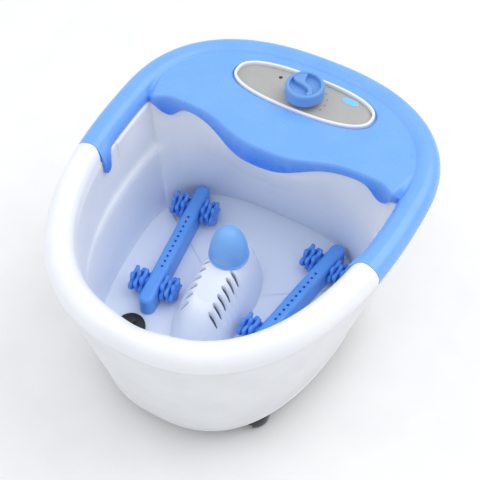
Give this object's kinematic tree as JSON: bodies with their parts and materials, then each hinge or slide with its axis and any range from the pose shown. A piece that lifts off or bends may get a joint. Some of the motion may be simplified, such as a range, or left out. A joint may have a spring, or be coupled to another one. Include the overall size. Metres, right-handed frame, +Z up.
{
  "type": "foot spa basin",
  "caption": "Foot spa basin with rolled rim, console with rotary switch, massage rollers on foot strips, slotted hump with lamp dome, drain plug and casters.",
  "frame": {"origin": "centre of the footprint on the floor", "axes": "+X to the right, +Y towards the console end, +Z up"},
  "size_m": [0.36, 0.429, 0.245],
  "materials": {
    "body_white": "moulded gloss",
    "basin_white": "moulded gloss",
    "cover_blue": "moulded gloss",
    "base_grey": "moulded matt",
    "bezel_white": "moulded gloss",
    "faceplate_grey": "satin film",
    "indicator_smoke": "clear smoked",
    "knob_blue": "moulded gloss",
    "steel": "plated",
    "switch_black": "moulded matt",
    "board_green": "solder mask",
    "emitter_red": "clear tinted",
    "dome_blue": "satin translucent",
    "strip_blue": "moulded gloss",
    "roller_blue": "moulded gloss",
    "rubber_black": "moulded",
    "hose_clear": "clear vinyl",
    "heater_aluminium": "sheet",
    "caster_black": "moulded gloss",
    "wheel_black": "moulded matt"
  },
  "bodies": {
    "tub": {"outer_body": "body_white", "basin_liner": "basin_white", "top_cover": "cover_blue", "base_plate": "base_grey", "panel_bezel": "bezel_white", "panel_faceplate": "faceplate_grey", "indicator_lens": "indicator_smoke", "rotary_switch": "switch_black", "control_board": "board_green", "hump_grille": "basin_white", "lamp_pedestal": "base_grey", "lamp_board": "board_green", "infrared_emitters": "emitter_red", "dome_collar": "dome_blue", "lamp_dome": "dome_blue", "left_strip": "strip_blue", "right_strip": "strip_blue", "drain_fitting": "switch_black", "drain_gasket": "rubber_black", "drain_nut": "switch_black", "cord_gland": "switch_black", "blower_volute": "base_grey", "blower_lid": "base_grey", "blower_motor": "steel", "air_hose": "hose_clear", "air_channels": "base_grey", "heater_plate": "heater_aluminium", "thermostat": "switch_black", "terminal_block": "base_grey", "cover_screws": "steel", "base_screws": "steel", "blower_screws": "steel"},
    "knob": {"control_knob": "knob_blue", "switch_shaft": "steel"},
    "fan": {"blower_impeller": "base_grey", "blower_shaft": "steel"},
    "plug": {"drain_plug": "rubber_black"},
    "roller_front_left": {"roller_front_left": "roller_blue"},
    "roller_rear_left": {"roller_rear_left": "roller_blue"},
    "roller_front_right": {"roller_front_right": "roller_blue"},
    "roller_rear_right": {"roller_rear_right": "roller_blue"},
    "caster_fl": {"caster_hood_fl": "caster_black", "caster_pin_fl": "steel"},
    "wheel_fl": {"caster_wheel_fl": "wheel_black"},
    "caster_fr": {"caster_hood_fr": "caster_black", "caster_pin_fr": "steel"},
    "wheel_fr": {"caster_wheel_fr": "wheel_black"},
    "caster_rl": {"caster_hood_rl": "caster_black", "caster_pin_rl": "steel"},
    "wheel_rl": {"caster_wheel_rl": "wheel_black"},
    "caster_rr": {"caster_hood_rr": "caster_black", "caster_pin_rr": "steel"},
    "wheel_rr": {"caster_wheel_rr": "wheel_black"}
  },
  "joints": [
    {"name": "knob_turn", "type": "hinge", "parent": "tub", "child": "knob", "pos_m": [0.003, 0.145, 0.236], "axis": [0, 0, -1], "range_deg": [0, 90]},
    {"name": "fan_spin", "type": "hinge", "parent": "tub", "child": "fan", "pos_m": [0, 0.138, 0.16], "axis": [0, 0, 1], "continuous": true},
    {"name": "plug_lift", "type": "slide", "parent": "tub", "child": "plug", "axis": [0, 0, 1], "range_m": [0, 0.04]},
    {"name": "roller_front_left_roll", "type": "hinge", "parent": "tub", "child": "roller_front_left", "pos_m": [-0.06873, -0.06141, 0.0795], "axis": [0.9898, 0.1426, 0], "continuous": true},
    {"name": "roller_rear_left_roll", "type": "hinge", "parent": "tub", "child": "roller_rear_left", "pos_m": [-0.08527, 0.05341, 0.0795], "axis": [0.9898, 0.1426, 0], "continuous": true},
    {"name": "roller_front_right_roll", "type": "hinge", "parent": "tub", "child": "roller_front_right", "pos_m": [0.06873, -0.06141, 0.0795], "axis": [0.9898, -0.1426, 0], "continuous": true},
    {"name": "roller_rear_right_roll", "type": "hinge", "parent": "tub", "child": "roller_rear_right", "pos_m": [0.08527, 0.05341, 0.0795], "axis": [0.9898, -0.1426, 0], "continuous": true},
    {"name": "swivel_fl", "type": "hinge", "parent": "tub", "child": "caster_fl", "pos_m": [-0.085, -0.113, 0.015], "axis": [0, 0, 1], "continuous": true},
    {"name": "wheel_spin_fl", "type": "hinge", "parent": "caster_fl", "child": "wheel_fl", "pos_m": [-0.085, -0.1165, 0.011], "axis": [1, 0, 0], "continuous": true},
    {"name": "swivel_fr", "type": "hinge", "parent": "tub", "child": "caster_fr", "pos_m": [0.085, -0.113, 0.015], "axis": [0, 0, 1], "continuous": true},
    {"name": "wheel_spin_fr", "type": "hinge", "parent": "caster_fr", "child": "wheel_fr", "pos_m": [0.085, -0.1165, 0.011], "axis": [1, 0, 0], "continuous": true},
    {"name": "swivel_rl", "type": "hinge", "parent": "tub", "child": "caster_rl", "pos_m": [-0.088, 0.062, 0.015], "axis": [0, 0, 1], "continuous": true},
    {"name": "wheel_spin_rl", "type": "hinge", "parent": "caster_rl", "child": "wheel_rl", "pos_m": [-0.088, 0.0585, 0.011], "axis": [1, 0, 0], "continuous": true},
    {"name": "swivel_rr", "type": "hinge", "parent": "tub", "child": "caster_rr", "pos_m": [0.088, 0.062, 0.015], "axis": [0, 0, 1], "continuous": true},
    {"name": "wheel_spin_rr", "type": "hinge", "parent": "caster_rr", "child": "wheel_rr", "pos_m": [0.088, 0.0585, 0.011], "axis": [1, 0, 0], "continuous": true}
  ]
}
